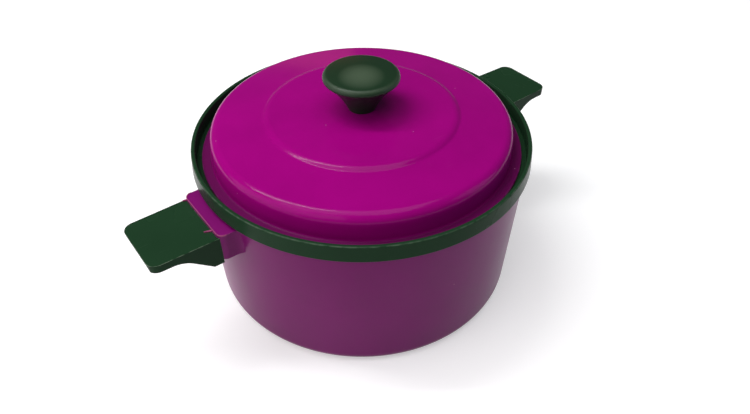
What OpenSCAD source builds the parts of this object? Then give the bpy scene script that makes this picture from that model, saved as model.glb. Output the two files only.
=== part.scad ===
// Toy cooking pot: a tapered pot with a snap-in rim ring, two plug-in tab handles
// and a lift-off stepped lid with a mushroom knob. Millimetres, +Z up.
// The origin is on the pot's axis, at the level of the table. The handles lie along X.

/* [Pot] */
// Outside radius of the wall, carried down to the table
pot_base_r = 57; // [54:0.5:60]
// Outside radius of the wall at the rim
pot_rim_r = 59; // [57.5:0.5:63]
// Height of the pot moulding, table to rim
pot_h = 53.8; // [44:0.2:70]
// Thickness of the wall
pot_wall = 1.6; // [1.2:0.1:2.2]
// Thickness of the floor
pot_floor = 1.6; // [1.2:0.1:3]
// Outside radius of the rounded bottom edge
base_round = 4.6; // [3:0.2:8]
// Width of the flat foot ring
foot_w = 8; // [4:0.5:16]
// Depth of the hollow inside the foot ring
foot_recess = 0.6; // [0.3:0.1:1.5]

/* [Rim ring] */
// Height of the ring above the pot's rim
ring_h = 5.8; // [5:0.1:9]
// How far the ring's lower edge stands out from the pot's wall
ring_overhang = 1.5; // [0.8:0.1:3]
// How much narrower the ring is at its top than at its lower edge
ring_draft = 0.5; // [0:0.1:1]
// Thickness of the upstand at its top
lip_t = 1.4; // [1:0.1:2.2]
// Rounding of the upstand's two top edges
lip_round = 0.5; // [0.2:0.1:0.5]
// Height of the ledge that carries the lid above the pot's rim
ledge_rise = 0.8; // [0.6:0.1:2]
// Thickness of that ledge
ledge_t = 1.3; // [1:0.1:1.8]
// Width of the ledge, from the upstand inwards
ledge_w = 4.6; // [3.8:0.1:6]
// Thickness of the spigot that goes down inside the pot
spigot_t = 1.4; // [1:0.1:2]
// Depth of the spigot below the pot's rim
spigot_depth = 2; // [1:0.2:2.6]
// Clearance of each pressed-in piece, all round
press_gap = 0.05; // [0.02:0.01:0.1]

/* [Lid] */
// Play between the lid's flange and the ring's upstand
lid_play = 1.7; // [0.6:0.1:2]
// Gap between the flange and the ledge that it rests on
seat_gap = 0.1; // [0.05:0.05:0.3]
// Thickness of the flange
flange_t = 0.9; // [0.8:0.1:2]
// Play between the lid's locating skirt and the ledge
skirt_play = 0.5; // [0.3:0.1:1.5]
// Depth of the locating skirt below the flange
skirt_depth = 3; // [1.5:0.5:6]
// Thickness of the lid's shell
lid_t = 1.5; // [1.2:0.1:2]
// Height of the lid's rounded top edge above the ledge
lid_edge_h = 10.7; // [9:0.1:14]
// How far the side wall leans in on its way up
lid_lean = 0.4; // [0:0.1:1.5]
// Radius of the hollow round between flange and side wall
cove_r = 0.8; // [0.5:0.1:1.6]
// Radius of the rounded top edge
lid_edge_r = 3.6; // [2.2:0.1:4.2]
// Rise of the top between its edge and the step
lid_crown = 1.9; // [1:0.1:4]
// Radius of the raised centre at the foot of its step
step_r = 34.5; // [24:0.5:40]
// Height of the step
step_h = 1; // [0.6:0.1:1.4]
// Width of the step's soft rounding
step_w = 3.3; // [2:0.1:5]
// Rise of the raised centre towards the knob's seat
centre_crown = 0.7; // [0.3:0.1:2]

/* [Knob] */
// Radius of the cap
knob_r = 13.2; // [11:0.2:18]
// Height of the cap's widest line above the lid
knob_h = 11.9; // [9.5:0.1:16]
// Rounding of the cap's upper edge
knob_round = 1.7; // [0.8:0.1:2.4]
// Rounding of the cap's lower edge
knob_edge_r = 0.5; // [0.3:0.1:0.8]
// Slope of the crown where it meets the rounded edge, in degrees
knob_slope = 7; // [3:1:14]
// Radius of the stem's foot
stem_r = 4.9; // [4:0.1:6]
// How far the flared underside is hollowed from a straight cone
flare_sag = 0.8; // [0.3:0.1:1.5]
// Radius of the peg that goes through the lid
peg_r = 2.4; // [2.2:0.1:2.6]
// Width of the flat rim round the stem's foot on the lid
seat_margin = 1; // [0.5:0.1:3]
// Play of the peg in the lid's hole
peg_play = 0.1; // [0.05:0.05:0.2]

/* [Handles] */
// Width of a handle at its root
handle_w = 23.8; // [20:0.1:24.2]
// How much each side draws in between root and tip
handle_taper = 0.4; // [0.1:0.1:2]
// Length from the socket's face to the tip
handle_reach = 22.2; // [18:0.1:32]
// Height of the handle's edge at the tip
tip_t = 2.9; // [2.2:0.1:4]
// Depth of the root, from the handle's top
root_depth = 10.6; // [10:0.1:13]
// Length of the root's flat underside
root_len = 2.9; // [2:0.1:5]
// Distance from the socket's face to the end of the root's slope
slope_end = 12; // [9:0.1:15]
// Radius of the hollow round between that slope and the flat tip
slope_round = 10; // [4:0.5:14]
// Radius of the tip's corners
tip_round = 3.5; // [2:0.5:8]
// Thickness of the handle's top and of its skirt
handle_t = 1.6; // [1.2:0.1:2]
// Thickness of the rib under the handle
rib_t = 1.4; // [1:0.1:2]

/* [Handle sockets] */
// Distance from the pot's rim down to the top of a socket
socket_drop = 1.3; // [0.5:0.1:4]
// How far a socket stands out from the wall at the rim
socket_reach = 5.1; // [4.6:0.1:8]
// Width of a socket
socket_w = 25.6; // [25:0.1:30]
// Height of a socket
socket_h = 10.4; // [9.8:0.1:13]
// Thickness of a socket's upper and lower walls
socket_t = 1.8; // [1.4:0.1:2.2]
// Width of the handle's tongue in its socket
tongue_w = 17; // [14:0.5:18]
// Rounding of a socket's outer corners
socket_round = 2.5; // [1:0.5:2.5]
// Radius of the hollow round between a socket's side and the wall
socket_fillet = 4; // [2:0.5:4.5]
// Rounding of a socket's lower corners, seen from the handle's tip
socket_low_round = 6; // [3:0.5:7]
// Step from a socket's top down to the handle
handle_drop = 1.1; // [0.6:0.1:1.4]

/* [Screws] */
// Radius of a screw's shank
screw_r = 1.4; // [1.2:0.1:1.6]
// Radius of a screw's head
screw_head_r = 3.2; // [3.1:0.1:3.6]
// Height of a screw's head
screw_head_h = 1.8; // [1.4:0.1:2.4]
// Length of a handle's screw under its head
handle_screw_len = 12; // [9:0.5:14]
// Length of the knob's screw under its head
knob_screw_len = 9; // [6:0.5:10]
// Play of a screw in its hole
screw_play = 0.1; // [0.05:0.05:0.2]
// Width of the cross recess in a screw's head
cross_w = 0.8; // [0.6:0.1:1]
// Depth of the cross recess
cross_depth = 0.9; // [0.6:0.1:1.2]
// How far the screw's pad stands in from the pot's inner wall
pad_h = 0.8; // [0.4:0.1:1.5]
// Width of the pad's rim round the screw's head
pad_margin = 0.3; // [0.1:0.1:0.5]

/* [Hidden] */
$fn = 96;
arc_steps = 8;
eps = 0.01;

magenta = "#a00a7d";
pot_purple = "#7a2f66";
dark_green = "#1f3a2c";
steel = "#b8bcc0";

// Pot wall: a cone whose lean is the same inside and out
wall_lean = atan((pot_rim_r - pot_base_r) / pot_h);
floor_top = foot_recess + pot_floor;
inner_round = base_round - pot_wall;
function pot_outer(z) = pot_base_r + z * tan(wall_lean);
function pot_inner(z) = pot_outer(z) - pot_wall / cos(wall_lean);

// Sockets and handles, measured from the pot's axis
socket_face = pot_rim_r + socket_reach;
socket_top = pot_h - socket_drop;
socket_bottom = socket_top - socket_h;
pocket_back = pot_rim_r;
pocket_w = tongue_w + 2 * press_gap;
pocket_h = socket_h - 2 * socket_t;
pocket_mid = socket_top - socket_h / 2;
handle_top = socket_top - handle_drop;
tongue_end = pocket_back + press_gap;
hollow_start = socket_face + handle_t;
hollow_end = socket_face + handle_reach - handle_t;
handle_lean = atan(handle_taper / handle_reach);
slope_turn = atan((root_depth - tip_t) / (slope_end - root_len));

// Corners of a socket in plan: the outer one, and the hollow round that dips into the wall
corner_c = [socket_face - socket_round, socket_w / 2 - socket_round];
dip_r = min(pot_outer(socket_bottom), pot_outer(socket_top)) - pot_wall / 4;
fillet_y = socket_w / 2 + socket_fillet;
fillet_c = [sqrt(pow(dip_r + socket_fillet, 2) - fillet_y * fillet_y), fillet_y];
fillet_turn = atan2(fillet_c.y, fillet_c.x);
block_start = dip_r * cos(fillet_turn) - 2 * pot_wall;

// Screws through the wall into the handles
pad_r = screw_head_r + pad_margin;
pad_face = pot_inner(pocket_mid - pad_r) - pad_h;
hole_r = screw_r + screw_play;

// Ring
ring_top = pot_h + ring_h;
ring_low_r = pot_rim_r + ring_overhang;
ring_top_r = ring_low_r - ring_draft;
lip_inner_r = ring_top_r - lip_t;
seat_z = pot_h + ledge_rise;
ledge_inner_r = lip_inner_r - ledge_w;

// Lid
flange_z = seat_z + seat_gap;
flange_r = lip_inner_r - lid_play;
skirt_r = ledge_inner_r - skirt_play;
lid_top_r = skirt_r - lid_lean;
lid_edge_z = seat_z + lid_edge_h;
step_z = lid_edge_z + lid_crown;
disc_z = step_z + step_h;
knob_seat_z = disc_z + centre_crown;
knob_seat_r = stem_r + seat_margin;
crown_lean = atan(lid_crown / (lid_top_r - lid_edge_r - step_r));

// Knob
cap_z = knob_seat_z + knob_h;
cap_r = knob_r - knob_round;

// Points along an arc about centre c, from angle a0 to angle a1
function arc(c, r, a0, a1) = [
    for (i = [0:arc_steps])
        let (a = a0 + (a1 - a0) * i / arc_steps)
            c + r * [cos(a), sin(a)]
];

// Points from p to q along an arc that is hollowed to the left of the straight line
function hollowed(p, q, sag) =
    let (
        run = q - p,
        chord = norm(run),
        r = chord * chord / (8 * sag) + sag / 2,
        right = [run.y, -run.x] / chord,
        half = asin(chord / (2 * r)),
        middle = atan2(-right.y, -right.x)
    )
    arc((p + q) / 2 + right * (r - sag), r, middle + half, middle - half);

// The same points on the other side of the X axis, in the opposite order
function mirrored(points) = [for (i = [len(points) - 1:-1:0]) [points[i].x, -points[i].y]];

// Half of a socket's outline in plan, grown by a gap: outer corner, side and hollow round
function socket_half(gap) = concat(
    arc(corner_c, socket_round + gap, 0, 90),
    arc(fillet_c, socket_fillet - gap, 270, 180 + fillet_turn),
    [[block_start, dip_r * sin(fillet_turn)]]
);

// Half outline of the pot's outside: foot ring, rounded edge and leaning wall
module pot_outside() {
    arc_r = pot_outer(base_round) - base_round / cos(wall_lean);
    foot_r = arc_r - foot_w;
    polygon(concat(
        [[0, foot_recess], [foot_r, foot_recess], [foot_r, 0]],
        arc([arc_r, base_round], base_round, -90, -wall_lean),
        [[pot_rim_r, pot_h], [0, pot_h]]
    ));
}

// Half outline of the room inside the pot
module pot_inside() {
    arc_z = floor_top + inner_round;
    arc_r = pot_inner(arc_z) - inner_round / cos(wall_lean);
    polygon(concat(
        [[0, floor_top]],
        arc([arc_r, arc_z], inner_round, -90, -wall_lean),
        [[pot_inner(pot_h + eps), pot_h + eps], [0, pot_h + eps]]
    ));
}

// Whole outline of a socket in plan, grown by a gap
module socket_plan(gap) {
    half = socket_half(gap);
    polygon(concat(mirrored(half), half));
}

// Outer block of one socket, reaching into the wall, its lower corners rounded
module socket_block() {
    front_w = fillet_c.y;
    low_c = [front_w - socket_low_round, socket_bottom + socket_low_round];
    intersection() {
        translate([0, 0, socket_bottom])
            linear_extrude(socket_h)
                socket_plan(0);
        translate([block_start - eps, 0, 0])
            rotate([90, 0, 90])
                linear_extrude(socket_face - block_start + 2 * eps)
                    polygon(concat(
                        [[-front_w, socket_top + eps]],
                        arc([-low_c.x, low_c.y], socket_low_round, 180, 270),
                        arc(low_c, socket_low_round, 270, 360),
                        [[front_w, socket_top + eps]]
                    ));
    }
}

// Pocket for the handle's tongue
module socket_pocket() {
    translate([pocket_back, -pocket_w / 2, pocket_mid - pocket_h / 2])
        cube([socket_reach + eps, pocket_w, pocket_h]);
}

// Flat round pad inside the wall, under a screw's head
module screw_pad() {
    translate([pad_face, 0, pocket_mid])
        rotate([0, 90, 0])
            cylinder(r = pad_r, h = pad_h + pot_wall / 2);
}

// Round hole along X for a screw, from the pad outwards
module screw_hole(length) {
    translate([pad_face - eps, 0, pocket_mid])
        rotate([0, 90, 0])
            cylinder(r = hole_r, h = length);
}

module pot_body() {
    color(pot_purple)
        difference() {
            union() {
                difference() {
                    union() {
                        rotate_extrude()
                            pot_outside();
                        for (turn = [0, 180])
                            rotate([0, 0, turn])
                                socket_block();
                    }
                    rotate_extrude()
                        pot_inside();
                }
                for (turn = [0, 180])
                    rotate([0, 0, turn])
                        screw_pad();
            }
            for (turn = [0, 180])
                rotate([0, 0, turn]) {
                    socket_pocket();
                    screw_hole(socket_face - pad_face);
                }
        }
}

// Ring section: upstand with a round lip, ledge for the lid, spigot inside the pot
module rim_ring() {
    spigot_r = pot_inner(pot_h) - press_gap;
    spigot_low = pot_h - spigot_depth;
    ledge_low = seat_z - ledge_t;
    lip_outer = [ring_top_r - lip_round, ring_top - lip_round];
    lip_inner = [lip_inner_r + lip_round, ring_top - lip_round];
    color(dark_green)
        rotate_extrude()
            polygon(concat(
                [[ring_low_r, pot_h]],
                arc(lip_outer, lip_round, 0, 90),
                arc(lip_inner, lip_round, 90, 180),
                [
                    [lip_inner_r, seat_z],
                    [ledge_inner_r, seat_z],
                    [ledge_inner_r, ledge_low],
                    [spigot_r - spigot_t, ledge_low],
                    [spigot_r - spigot_t, spigot_low],
                    [pot_inner(spigot_low) - press_gap, spigot_low],
                    [spigot_r, pot_h],
                ]
            ));
}

// Plan of a handle from a start on, drawn in by an inset at the sides and the tip
module handle_plan(start, inset) {
    tip_c = [
        socket_face + handle_reach - tip_round,
        handle_w / 2 - handle_taper * (1 - tip_round / handle_reach) - tip_round / cos(handle_lean),
    ];
    round = max(tip_round - inset, eps);
    half = [start, handle_w / 2 - (start - socket_face) * tan(handle_lean) - inset];
    polygon(concat(
        [[half.x, -half.y]],
        arc([tip_c.x, -tip_c.y], round, handle_lean - 90, 0),
        arc(tip_c, round, 0, 90 - handle_lean),
        [half]
    ));
}

// Side view of a handle: flat tip, hollow round, slope and deep root, cut short by an inset below
module handle_side(inset) {
    root = handle_top - root_depth + inset;
    tip = handle_top - tip_t + inset;
    round_c = [socket_face + slope_end + slope_round * tan(slope_turn / 2), tip - slope_round];
    translate([0, handle_w, 0])
        rotate([90, 0, 0])
            linear_extrude(2 * handle_w)
                polygon(concat(
                    [[corner_c.x, root], [socket_face + root_len, root]],
                    arc(round_c, slope_round, 90 + slope_turn, 90),
                    [
                        [socket_face + handle_reach + eps, tip],
                        [socket_face + handle_reach + eps, handle_top + eps],
                        [corner_c.x, handle_top + eps],
                    ]
                ));
}

// Room under a handle, inside its skirt
module handle_hollow() {
    translate([0, 0, handle_top - root_depth - eps])
        linear_extrude(root_depth - handle_t + eps)
            handle_plan(hollow_start, handle_t);
}

// Rib along the middle, and the thicker boss at the root that holds the screw
module handle_rib() {
    boss_w = 2 * (hole_r + rib_t);
    boss_len = pad_face + handle_screw_len + rib_t - hollow_start;
    bottom = handle_top - root_depth;
    intersection() {
        handle_side(rib_t / 2);
        union() {
            translate([hollow_start - eps, -rib_t / 2, bottom])
                cube([hollow_end - hollow_start + 2 * eps, rib_t, root_depth - handle_t + eps]);
            translate([hollow_start - eps, -boss_w / 2, bottom])
                cube([boss_len, boss_w, root_depth - handle_t + eps]);
        }
    }
}

// Tongue that fills the socket's pocket
module handle_tongue() {
    tongue_h = pocket_h - 2 * press_gap;
    translate([tongue_end, -tongue_w / 2, pocket_mid - tongue_h / 2])
        cube([socket_face + press_gap + eps - tongue_end, tongue_w, tongue_h]);
}

module handle() {
    color(dark_green)
        difference() {
            union() {
                difference() {
                    intersection() {
                        translate([0, 0, handle_top - root_depth])
                            linear_extrude(root_depth)
                                handle_plan(corner_c.x + eps, 0);
                        handle_side(0);
                    }
                    handle_hollow();
                    translate([0, 0, handle_top - root_depth - eps])
                        linear_extrude(root_depth + 2 * eps)
                            socket_plan(press_gap);
                }
                handle_rib();
                handle_tongue();
            }
            screw_hole(handle_screw_len + screw_play);
        }
}

module handle_right() {
    handle();
}

module handle_left() {
    rotate([0, 0, 180])
        handle();
}

// Pan-head screw standing on Z, its head's underside at the origin
module screw(length) {
    color(steel)
        difference() {
            union() {
                cylinder(r = screw_r, h = length);
                translate([0, 0, -screw_head_h / 2])
                    cylinder(r = screw_head_r, h = screw_head_h / 2);
                translate([0, 0, -screw_head_h])
                    cylinder(r1 = screw_head_r - screw_head_h / 2, r2 = screw_head_r, h = screw_head_h / 2);
            }
            for (turn = [0, 90])
                rotate([0, 0, turn])
                    translate([-screw_head_r / 2, -cross_w / 2, -screw_head_h - eps])
                        cube([screw_head_r, cross_w, cross_depth + eps]);
        }
}

module handle_screws() {
    for (turn = [0, 180])
        rotate([0, 0, turn])
            translate([pad_face, 0, pocket_mid])
                rotate([0, 90, 0])
                    screw(handle_screw_len);
}

// Lid section: skirt, flange, hollow round, side wall, rounded edge, crown, step and centre
module lid_section() {
    half_t = flange_t / 2;
    flange_top = flange_z + flange_t;
    edge_c = [lid_top_r - lid_edge_r, lid_edge_z - lid_edge_r];
    step_arc_r = (step_w * step_w + step_h * step_h) / (2 * step_h);
    step_c = [step_r - step_w, disc_z - step_arc_r];
    inner_edge_r = lid_edge_r - lid_t;
    hole = peg_r + peg_play;
    polygon(concat(
        [[skirt_r - lid_t, flange_z - skirt_depth], [skirt_r, flange_z - skirt_depth], [skirt_r, flange_z]],
        arc([flange_r - half_t, flange_z + half_t], half_t, -90, 90),
        arc([skirt_r + cove_r, flange_top + cove_r], cove_r, 270, 180),
        arc(edge_c, lid_edge_r, 0, 90 - crown_lean),
        arc(step_c, step_arc_r, acos(step_w / step_arc_r), 90),
        [
            [knob_seat_r, knob_seat_z],
            [hole, knob_seat_z],
            [hole, knob_seat_z - lid_t],
            [knob_seat_r, knob_seat_z - lid_t],
            [step_r - step_w, disc_z - lid_t],
            [step_r, step_z - lid_t],
        ],
        arc(edge_c, inner_edge_r, 90 - crown_lean, 0),
        [[skirt_r - lid_t, flange_z]]
    ));
}

module lid() {
    color(magenta)
        rotate_extrude()
            lid_section();
}

// Knob section: peg, flared stem, round edges and low crown
module knob_section() {
    peg_end = knob_seat_z - lid_t + peg_play;
    low_edge = arc([knob_r - knob_edge_r, cap_z], knob_edge_r, -45, 0);
    crown_c = [0, cap_z - cap_r / tan(knob_slope)];
    polygon(concat(
        [[0, peg_end], [peg_r, peg_end], [peg_r, knob_seat_z]],
        hollowed([stem_r, knob_seat_z], low_edge[0], flare_sag),
        low_edge,
        arc([cap_r, cap_z], knob_round, 0, 90 - knob_slope),
        arc(crown_c, cap_r / sin(knob_slope) + knob_round, 90 - knob_slope, 90)
    ));
}

module knob() {
    color(dark_green)
        difference() {
            rotate_extrude()
                knob_section();
            translate([0, 0, knob_seat_z - lid_t])
                cylinder(r = hole_r, h = knob_screw_len + screw_play);
        }
}

module knob_screw() {
    translate([0, 0, knob_seat_z - lid_t])
        screw(knob_screw_len);
}

pot_body();
rim_ring();
handle_left();
handle_right();
handle_screws();
lid();
knob();
knob_screw();
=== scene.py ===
# %% [markdown]
# # A toy cooking pot and its lid
# This lesson dresses a small plastic cooking pot from a play kitchen: a dull purple pot, a dark green rim
# ring with two tab handles, and a magenta lid that lifts off by a mushroom knob. The solids of the pot are
# already made and packed as a fixed frame. Every finished piece is modelled around that frame, and no solid
# is moved. The sizes of the pieces are written in millimetres, and MM turns them into Blender's metres.

# %% Load the frame
import math

import bmesh
import bpy
from mathutils import Matrix, Vector


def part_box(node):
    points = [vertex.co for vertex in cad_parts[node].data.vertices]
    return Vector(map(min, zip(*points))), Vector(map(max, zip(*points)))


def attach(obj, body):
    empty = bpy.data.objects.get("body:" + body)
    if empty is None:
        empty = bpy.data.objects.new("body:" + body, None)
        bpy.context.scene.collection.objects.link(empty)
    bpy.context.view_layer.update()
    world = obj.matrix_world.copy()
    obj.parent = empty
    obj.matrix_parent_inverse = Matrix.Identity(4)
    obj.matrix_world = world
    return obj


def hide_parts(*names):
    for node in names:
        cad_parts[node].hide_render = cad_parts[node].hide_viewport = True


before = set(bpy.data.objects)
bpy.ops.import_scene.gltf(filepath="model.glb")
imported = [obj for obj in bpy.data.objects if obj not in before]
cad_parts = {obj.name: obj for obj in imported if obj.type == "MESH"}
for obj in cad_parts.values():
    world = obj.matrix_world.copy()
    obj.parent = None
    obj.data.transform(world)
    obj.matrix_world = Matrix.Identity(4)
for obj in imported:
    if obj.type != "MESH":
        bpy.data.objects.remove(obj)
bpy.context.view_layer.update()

MM = 0.001
scene = bpy.context.scene
scene.view_settings.view_transform = "Standard"

# %% [markdown]
# ## The camera
# The picture to match was taken from close by, looking down at the pot with the near handle to the left.
# The pot's round rim, its foot and the handles' corners give the camera's place: a distance and a height
# angle from the middle of the rim, and a direction round the pot. A Track To constraint could aim it at the
# rim, but the real camera looks a little lower and isn't held quite level. So its three axes are worked out
# here, with a small turn, a tilt and a roll added to the plain aim.

# %% Directions
CAMERA_HEIGHT_ANGLE = 34.41
CAMERA_AZIMUTH = -35.76


def direction(azimuth, height):
    """Unit vector from the pot towards a place round it: azimuth 0 is the front, -Y, and 90 is +X."""
    a = math.radians(azimuth)
    h = math.radians(height)
    return Vector((math.sin(a) * math.cos(h), -math.cos(a) * math.cos(h), math.sin(h)))


def swung(first, second, degrees):
    """Two square unit vectors, turned together in their own plane."""
    c = math.cos(math.radians(degrees))
    s = math.sin(math.radians(degrees))
    return first * c + second * s, second * c - first * s


towards_camera = direction(CAMERA_AZIMUTH, CAMERA_HEIGHT_ANGLE)
print("direction of the camera:", tuple(round(x, 3) for x in towards_camera))

# %% Camera
PHOTO_W = 750
FOCAL_PX = 647.2
SENSOR_W = 36.0
NEAR_CLIP = 10 * MM
RIM_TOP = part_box("rim_ring")[1].z
CAMERA_DISTANCE = 233.2 * MM
CAMERA_TURN = 1.05
CAMERA_TILT = -6.88
CAMERA_ROLL = -0.70


def placed(name, data):
    """A new object of that name in the scene."""
    holder = bpy.data.objects.new(name, data)
    scene.collection.objects.link(holder)
    return holder


def set_up(name, data, axes, towards, distance):
    """A new object with the given three axes, at a distance from the middle of the rim."""
    holder = placed(name, data)
    spot = Vector((0, 0, RIM_TOP)) + towards * distance
    holder.matrix_world = Matrix.Translation(spot) @ Matrix(axes).transposed().to_4x4()
    return holder


def place_camera():
    """A camera that sees the pot as the picture does."""
    ahead = -towards_camera
    right = ahead.cross(Vector((0, 0, 1))).normalized()
    up = right.cross(ahead)
    ahead, right = swung(ahead, right, CAMERA_TURN)
    ahead, up = swung(ahead, up, CAMERA_TILT)
    right, up = swung(right, up, CAMERA_ROLL)
    view = bpy.data.cameras.new("camera")
    view.sensor_fit = "HORIZONTAL"
    view.sensor_width = SENSOR_W
    view.lens = FOCAL_PX / PHOTO_W * SENSOR_W
    view.clip_start = NEAR_CLIP
    return set_up("camera", view, (right, up, -ahead), towards_camera, CAMERA_DISTANCE)


camera = place_camera()
scene.camera = camera
print("camera at", tuple(round(x, 4) for x in camera.location), "lens", round(camera.data.lens, 2), "mm")

# %% [markdown]
# ## Small helpers for node trees
# Materials and Geometry Nodes are both trees of nodes, and a script builds them one node and one link at a
# time. A few helpers keep that readable: one starts a material, one makes a node and feeds its inputs, and
# the others give the sums, products and ranges that most of the trees below need.

# %% Node helpers


def new_finish(name):
    """A new material, its node tree and the coordinates of the object that wears it."""
    finish = bpy.data.materials.new(name)
    finish.use_nodes = True
    tree = finish.node_tree
    return finish, tree, tree.nodes.new("ShaderNodeTexCoord").outputs["Object"]


def feed(tree, value, socket):
    """Feeds an input: the socket of another node is linked to it, and a plain value is set."""
    if isinstance(value, bpy.types.NodeSocket):
        tree.links.new(value, socket)
    else:
        socket.default_value = value


def wired(tree, kind, wires, **settings):
    """A new node of a kind: its settings are made first, and then its named inputs are fed."""
    node = tree.nodes.new(kind)
    for name, value in settings.items():
        setattr(node, name, value)
    for name, value in wires.items():
        feed(tree, value, node.inputs[name])
    return node


def worked_out(tree, operation, first, second):
    """The result of a Math node for two values."""
    node = wired(tree, "ShaderNodeMath", {}, operation=operation)
    feed(tree, first, node.inputs[0])
    feed(tree, second, node.inputs[1])
    return node.outputs[0]


def times(tree, first, second):
    """The product of two values."""
    return worked_out(tree, "MULTIPLY", first, second)


def plus(tree, first, second):
    """The sum of two values."""
    return worked_out(tree, "ADD", first, second)


def ranged(tree, value, low, high, to_low=0.0, to_high=1.0):
    """The value, spread from one range to another and kept inside it."""
    wires = {"Value": value, "From Min": low, "From Max": high, "To Min": to_low, "To Max": to_high}
    return wired(tree, "ShaderNodeMapRange", wires).outputs["Result"]


helpers = (new_finish, feed, wired, worked_out, times, plus, ranged)
print("node helpers:", [helper.__name__ for helper in helpers])

# %% [markdown]
# ## The floor
# The pot stands on a plain white table, and nothing else is behind it. The table is one large matt plane.
# Stronger lamps could make it white, but they would wash out the pot's colours. So it glows a little by
# itself, only for rays from the camera, from mirror images and through clear things: it keeps the pot's
# shadow, and the pot sees the glow in its shine alone. Away from the pot the table gets darker, so that the
# far edge of the lid doesn't mirror a bright horizon.

# %% Floor
FLOOR_SIZE = 6.0
FLOOR_WHITE = 0.72
FLOOR_LIFT = 0.40
FLOOR_NEAR = 0.42
FLOOR_FAR = 1.10
FLOOR_DIM = 0.25


def table_paint():
    """Matt white that glows a little where it is seen, and gets darker with the distance from the pot."""
    paint, tree, coords = new_finish("white_table")
    tree.nodes.remove(tree.nodes["Principled BSDF"])
    reach = wired(tree, "ShaderNodeVectorMath", {"Vector": coords}, operation="LENGTH")
    near = ranged(tree, reach.outputs["Value"], FLOOR_NEAR, FLOOR_FAR, 1.0, FLOOR_DIM)
    matt = wired(tree, "ShaderNodeBsdfDiffuse", {"Color": times(tree, near, FLOOR_WHITE)})
    rays = tree.nodes.new("ShaderNodeLightPath").outputs
    seen = plus(tree, rays["Is Camera Ray"], rays["Is Glossy Ray"])
    seen = plus(tree, seen, rays["Is Transmission Ray"])
    strength = times(tree, seen, times(tree, near, FLOOR_LIFT))
    glow = wired(tree, "ShaderNodeEmission", {"Strength": strength})
    both = tree.nodes.new("ShaderNodeAddShader")
    feed(tree, matt.outputs[0], both.inputs[0])
    feed(tree, glow.outputs[0], both.inputs[1])
    feed(tree, both.outputs[0], tree.nodes["Material Output"].inputs["Surface"])
    return paint


bpy.ops.mesh.primitive_plane_add(size=FLOOR_SIZE)
floor = bpy.context.object
floor.name = "floor"
floor.data.materials.append(table_paint())
print("floor:", FLOOR_SIZE, "m wide, white up to", FLOOR_NEAR, "m from the pot")

# %% [markdown]
# ## World and lamps
# The light is that of a bright room. A large lamp overhead gives the lid its even colour and the knob its
# soft shadow. A long narrow window, high on the left, is mirrored in the lid's round edge as a fine light
# line. A broad warm fill from the left and a weak cool one from the right tint the two sides of the pot,
# and a small warm card behind it leaves a reddish gleam at the back of the lid. Point lamps would be
# simpler, but the size of a rectangular lamp sets how soft its shadow and how wide its mirror image is.

# %% World and lamps
WORLD_GREY = (0.07, 0.072, 0.077, 1)
LAMP_DISTANCE = 0.9
NEUTRAL = (1.0, 1.0, 1.0)
COOL = (0.72, 0.84, 1.0)
WARM = (1.0, 0.90, 0.93)
AMBER = (1.0, 0.22, 0.14)


def soft_lamp(name, azimuth, height, size, power, tint=NEUTRAL):
    """A rectangular lamp that faces the pot, at an azimuth from the camera's and a height angle."""
    lamp = bpy.data.lights.new(name, "AREA")
    lamp.shape = "RECTANGLE"
    lamp.size, lamp.size_y = size
    lamp.energy = power
    lamp.color = tint
    towards = direction(CAMERA_AZIMUTH + azimuth, height)
    along = direction(CAMERA_AZIMUTH + 90, 0)
    along = (along - towards * along.dot(towards)).normalized()
    set_up(name, lamp, (along, towards.cross(along), towards), towards, LAMP_DISTANCE)


world = bpy.data.worlds.new("studio")
world.use_nodes = True
sky = world.node_tree.nodes["Background"].inputs
sky["Color"].default_value = WORLD_GREY
sky["Strength"].default_value = 1.0
scene.world = world
soft_lamp("overhead_lamp", azimuth=-70, height=80, size=(1.20, 0.75), power=6.6)
soft_lamp("window", azimuth=-104, height=62, size=(0.62, 0.09), power=3.9)
soft_lamp("left_fill", azimuth=-57, height=22, size=(1.5, 0.75), power=5.6, tint=WARM)
soft_lamp("right_fill", azimuth=82, height=18, size=(0.6, 0.4), power=1.0, tint=COOL)
soft_lamp("warm_card", azimuth=-171, height=14, size=(0.24, 0.06), power=0.06, tint=AMBER)

# %% [markdown]
# ## Patterns for the finishes
# Close up, moulded plastic is never one flat colour: the pigment is faintly cloudy, the mould leaves a fine
# grain, and use leaves faint scratches and pale specks of dust. Painted pictures could show that, but each
# piece would have to be unwrapped for them. Patterns that are worked out from a piece's own coordinates
# need no unwrapping and stay with the piece when it moves. Noise gives clouds and grain. Drawn out along
# one axis, its peaks are scratches, and the cells of a Voronoi pattern hold the specks.

# %% Patterns
SPECK_CORE = 0.5
SPECK_STEP = 0.01
# For each direction: a scale, a turn with a stretch, and the range of the noise that makes the peaks.
SCRATCHES = [
    (90, ((0.3, 0.2, 0.6), (1, 22, 22)), (0.74, 0.80)),
    (80, ((0.5, 0.1, -0.9), (22, 1, 22)), (0.75, 0.81)),
]


def noise(tree, coords, scale, detail, stretch=None):
    """A noise pattern in the piece's own coordinates, first turned and drawn out if stretch is given."""
    if stretch:
        wires = {"Vector": coords, "Rotation": stretch[0], "Scale": stretch[1]}
        coords = wired(tree, "ShaderNodeMapping", wires).outputs["Vector"]
    wires = {"Vector": coords, "Scale": scale, "Detail": detail}
    return wired(tree, "ShaderNodeTexNoise", wires).outputs["Fac"]


def scratches(tree, coords):
    """Faint scratches in two directions: the peaks of two drawn-out noise patterns."""
    found = 0.0
    for scale, stretch, peaks in SCRATCHES:
        drawn_out = noise(tree, coords, scale, detail=1.0, stretch=stretch)
        found = plus(tree, ranged(tree, drawn_out, *peaks), found)
    return found


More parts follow.
